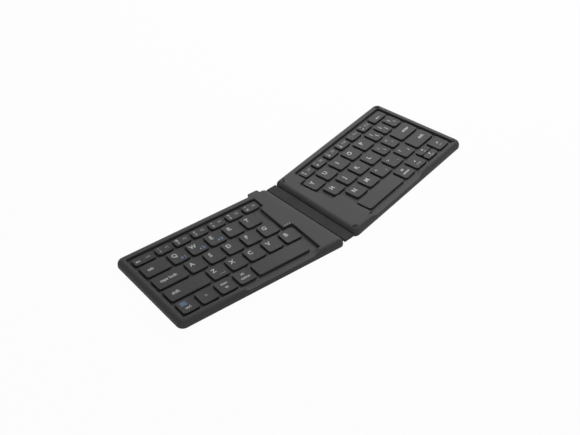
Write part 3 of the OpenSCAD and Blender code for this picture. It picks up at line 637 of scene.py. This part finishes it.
LEFT_NUMBERS = [
    ("!", "1", "F1"), ("@", "2", "F2"), ("#", "3", "F3"),
    ("$", "4", "F4"), ("%", "5", "F5"), ("^", "6", "F6"),
]
RIGHT_NUMBERS = [
    ("&", "7", "F7"), ("*", "8", "F8"), ("(", "9", "F9"),
    (")", "0", "F10"), ("_", "-", "F11"), ("+", "=", "F12"),
]
LEGENDS = {
    "key_escape": print_escape,
    "keys_number_left": lambda s, k: numbers(s, k, LEFT_NUMBERS),
    "key_tab": lambda s, k: word(s, k, "tab", 4.2 * MM),
    "keys_top_left": print_top_left,
    "key_caps": lambda s, k: word(s, k, "caps lock"),
    "keys_home_left": lambda s, k: letters(s, k, "ASDFG", LEFT_LETTER),
    "key_shift_left": lambda s, k: word(s, k, "shift"),
    "keys_lower_left": print_lower_left,
    "key_ctrl": print_ctrl,
    "key_fn": lambda s, k: s.write(k[0], "fn", SMALL, 7.6 * MM, 7.4 * MM, GREY_INK),
    "key_alt_left": lambda s, k: two_lines(s, k, "start", "alt"),
    "key_meta_left": lambda s, k: two_lines(s, k, "alt", "option"),
    "keys_number_right": lambda s, k: numbers(s, k, RIGHT_NUMBERS),
    "key_backspace": print_backspace,
    "keys_top_right": print_top_right,
    "key_backslash": lambda s, k: pairs(s, k, ["|\\"]),
    "keys_home_right": print_home_right,
    "key_enter": lambda s, k: word(s, k, "enter", -3.4 * MM),
    "keys_lower_right": print_lower_right,
    "key_shift_right": lambda s, k: word(s, k, "shift", -3.4 * MM),
    "key_meta_right": lambda s, k: two_lines(s, k, "alt", "option"),
    "key_arrow_left": lambda s, k: print_arrow(s, k, math.pi, "home"),
    "key_arrow_up": lambda s, k: print_arrow(s, k, math.pi / 2, "up"),
    "key_arrow_down": lambda s, k: print_arrow(s, k, -math.pi / 2, "down"),
    "key_arrow_right": lambda s, k: print_arrow(s, k, 0, "end"),
}


def print_legends():
    """Makes the legends of every lettered node."""
    for node_name, draw in LEGENDS.items():
        sheet = Print(node_name)
        draw(sheet, key_tops(node_name))
        sheet.finish()


print_legends()


# ---- Smooth housings, domes and scissor links ------------------------------

# Edges sharper than these stay sharp
HOUSING_CREASE = math.radians(32)
SMALL_PART_CREASE = math.radians(35)
# Faces that turn less than this are one flat face
FLATNESS = math.radians(0.2)
# Two faces that turn more than this, over an edge no longer than this, are a fold
FOLDED = math.radians(179)
LONGEST_FOLD = 2 * MM
SAME_LEVEL = 0.002 * MM
# Rounding of the well's upper edge, and what counts as such an edge: the rise of the normals of
# the faces on either side, the edge's least length, the wall's least height, and the level over
# which the edge lies
EDGE_EASE = 0.7 * MM
EASE_STEPS = 4
UPWARD = 0.9
UPRIGHT = 0.3
SHORTEST_EASED = 0.4 * MM
LOWEST_WALL = 0.7 * MM
WEB_TOP = 5.7 * MM


def soften(mesh, crease):
    """Smooth faces, with an edge kept where two faces meet at more than the crease angle."""
    for face in mesh.faces:
        face.smooth = True
    for edge in mesh.edges:
        edge.smooth = edge.calc_face_angle(math.pi) < crease


def stand_in(name, mesh, node_name, finish):
    """A piece with a bmesh for its shape, shown in place of a CAD node or of a part of it."""
    data = bpy.data.meshes.new(name)
    mesh.to_mesh(data)
    data.materials.append(finish)
    piece = bpy.data.objects.new(name, data)
    bpy.context.scene.collection.objects.link(piece)
    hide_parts(node_name)
    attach(piece, NODE_BODY[node_name])
    return piece


def tops_a_wall(edge):
    """Whether an edge is where a well's wall meets the face above it."""
    if not edge.is_manifold or not edge.is_convex or edge.calc_length() < SHORTEST_EASED:
        return False
    wall, top = sorted(edge.link_faces, key=lambda face: face.normal.z)
    heights = [vert.co.z for vert in wall.verts]
    return (
        top.normal.z > UPWARD and abs(wall.normal.z) < UPRIGHT
        and max(heights) - min(heights) > LOWEST_WALL
        and min(vert.co.z for vert in edge.verts) > WEB_TOP
    )


def mend_corner(mesh):
    """Draws a top corner together where its round is wider than the corner, and so folds over."""
    level = max(vert.co.z for vert in mesh.verts)
    folds = [
        edge for edge in mesh.edges if edge.is_manifold
        and edge.calc_face_angle() > FOLDED and edge.calc_length() < LONGEST_FOLD
    ]
    loop = [vert.co for edge in folds for vert in edge.verts if vert.co.z > level - SAME_LEVEL]
    if not loop:
        return
    left, right = min(point.x for point in loop), max(point.x for point in loop)
    front, back = min(point.y for point in loop), max(point.y for point in loop)
    inside = [
        vert for vert in mesh.verts if vert.co.z > level - SAME_LEVEL
        and left - SAME_LEVEL < vert.co.x < right + SAME_LEVEL
        and front - SAME_LEVEL < vert.co.y < back + SAME_LEVEL
    ]
    bmesh.ops.pointmerge(mesh, verts=inside, merge_co=Vector((left, back, level)))


def smooth_housing(node_name, finish):
    """A copy of a housing with its well's upper edge eased and its rounds shaded as rounds."""
    mesh = merged_copy(node_name)
    mend_corner(mesh)
    bmesh.ops.dissolve_limit(mesh, angle_limit=FLATNESS, verts=mesh.verts, edges=mesh.edges)
    bmesh.ops.bevel(
        mesh, geom=[edge for edge in mesh.edges if tops_a_wall(edge)], offset=EDGE_EASE,
        segments=EASE_STEPS, profile=0.5, affect="EDGES", material=-1, clamp_overlap=False,
    )
    soften(mesh, HOUSING_CREASE)
    piece = stand_in("smooth_" + node_name, mesh, node_name, finish)
    mesh.free()
    weighted = piece.modifiers.new("weighted_normals", "WEIGHTED_NORMAL")
    weighted.keep_sharp = True


for half in ("left", "right"):
    smooth_housing("top_shell_" + half, SHELL)
    smooth_housing("bottom_shell_" + half, BASE)


def sprung_parts(part, node_name, keys_of_node):
    """Splits a node into the parts under each key node."""
    whole = merged_copy(node_name)
    soften(whole, SMALL_PART_CREASE)
    for key_node, tops in keys_of_node.items():
        mesh = whole.copy()
        others = []
        for island in islands(mesh):
            middle = sum((vert.co for vert in island), Vector()) / len(island)
            if not any(top.covers(middle) for top in tops):
                others += island
        bmesh.ops.delete(mesh, geom=others, context="VERTS")
        if mesh.verts:
            piece = stand_in(part + "_" + key_node, mesh, node_name, NODE_FINISH[part])
            key_node + "_press"
            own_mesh(piece)
        mesh.free()
    whole.free()


def spring_the_keys():
    """Splits the domes and links into the parts under each key node."""
    for side, right in (("_left", False), ("_right", True)):
        keys_of_side = {
            name: key_tops(name) for name in frame["nodes"]
            if name.startswith("key") and not name.startswith("key_plate")
            and (NODE_BODY[name] in RIGHT_BODIES) == right
        }
        for part in ("domes", "scissors"):
            sprung_parts(part, part + side, keys_of_side)


spring_the_keys()


# ---- Stage ----------------------------------------------------------------

FLOOR_SIZE = 40.0
# Share of its own white that the floor shows the camera; the rest takes light and shadow
FLOOR_GLOW = 0.97
ROOM_COLOUR = (0.97, 0.98, 1.0, 1)
ROOM_STRENGTH = 0.12
FLOOR_WHITE = (243, 243, 243)
FLOOR_ROUGHNESS = 0.9


def pale_floor():
    """White floor that keeps the object's soft shadow and meets a white background."""
    mesh = bmesh.new()
    bmesh.ops.create_grid(mesh, x_segments=1, y_segments=1, size=FLOOR_SIZE / 2)
    data = bpy.data.meshes.new("floor")
    mesh.to_mesh(data)
    mesh.free()
    floor = bpy.data.objects.new("floor", data)
    bpy.context.scene.collection.objects.link(floor)
    finish = Finish("floor_white")
    finish.set(base_color=FLOOR_WHITE)
    finish.shader.inputs["Roughness"].default_value = FLOOR_ROUGHNESS
    finish.shader.inputs["Specular IOR Level"].default_value = 0.0
    matt = Field(finish, finish.shader.outputs["BSDF"])
    glow = finish.node("ShaderNodeEmission", {}, {"Strength": 1.0})
    mix = finish.node("ShaderNodeMixShader", {}, [finish.seen() * FLOOR_GLOW, matt, glow])
    finish.put(finish.output.inputs["Surface"], mix)
    data.materials.append(finish.material)


def white_world():
    """White behind everything, and an even, dimmer light from all round."""
    world = bpy.data.worlds.new("studio")
    bpy.context.scene.world = world
    graph = Graph(world)
    output = graph.tree.nodes.new("ShaderNodeOutputWorld")
    backdrop = graph.node("ShaderNodeBackground", {}, {"Color": (1, 1, 1, 1), "Strength": 1.0})
    room = graph.node("ShaderNodeBackground", {}, {"Color": ROOM_COLOUR, "Strength": ROOM_STRENGTH})
    mix = graph.node("ShaderNodeMixShader", {}, [graph.seen(), room, backdrop])
    graph.put(output.inputs["Surface"], mix)


def soft_lamp(name, azimuth, elevation, distance, width, height, power):
    """An area lamp that looks at the keyboard from a direction in degrees, 0 being the front."""
    lamp = bpy.data.lights.new(name, "AREA")
    lamp.shape = "RECTANGLE"
    lamp.size = width
    lamp.size_y = height
    lamp.energy = power
    side = math.radians(azimuth)
    rise = math.radians(elevation)
    out = math.cos(rise)
    place = distance * Vector((math.sin(side) * out, -math.cos(side) * out, math.sin(rise)))
    holder = bpy.data.objects.new(name, lamp)
    holder.location = place
    holder.rotation_euler = (-place).to_track_quat("-Z", "Y").to_euler()
    bpy.context.scene.collection.objects.link(holder)


# The place and the reach are in metres, and the sensor and the lens are in millimetres
CAMERA_PLACE = Vector((-0.5888, -0.57932, 0.68495))
CAMERA_AZIMUTH = math.radians(-44.79)
CAMERA_ELEVATION = math.radians(39.94)
CAMERA_ROLL = math.radians(0.07)
SENSOR_WIDTH = 36.0
FOCAL_LENGTH = 78.83
NEAREST_SEEN = 0.01
FARTHEST_SEEN = 60


def main_camera():
    """Camera in front of the left half, turned towards the middle of the keyboard."""
    lens = bpy.data.cameras.new("camera")
    lens.sensor_width = SENSOR_WIDTH
    lens.lens = FOCAL_LENGTH
    lens.clip_start = NEAREST_SEEN
    lens.clip_end = FARTHEST_SEEN
    camera = bpy.data.objects.new("camera", lens)
    camera.location = CAMERA_PLACE
    turn = Euler((math.pi / 2 - CAMERA_ELEVATION, 0, CAMERA_AZIMUTH)).to_matrix()
    camera.rotation_euler = (turn @ Matrix.Rotation(CAMERA_ROLL, 3, "Z")).to_euler()
    bpy.context.scene.collection.objects.link(camera)
    bpy.context.scene.camera = camera


pale_floor()
white_world()
soft_lamp(
    "back_softbox", azimuth=118, elevation=40, distance=0.65, width=0.6, height=0.4, power=2.2
)
soft_lamp("top_softbox", azimuth=60, elevation=70, distance=1.6, width=1.2, height=1.2, power=1.8)
soft_lamp(
    "front_softbox", azimuth=-40, elevation=20, distance=1.3, width=1.4, height=0.5, power=2.0
)
main_camera()
bpy.context.scene.view_settings.view_transform = "Standard"
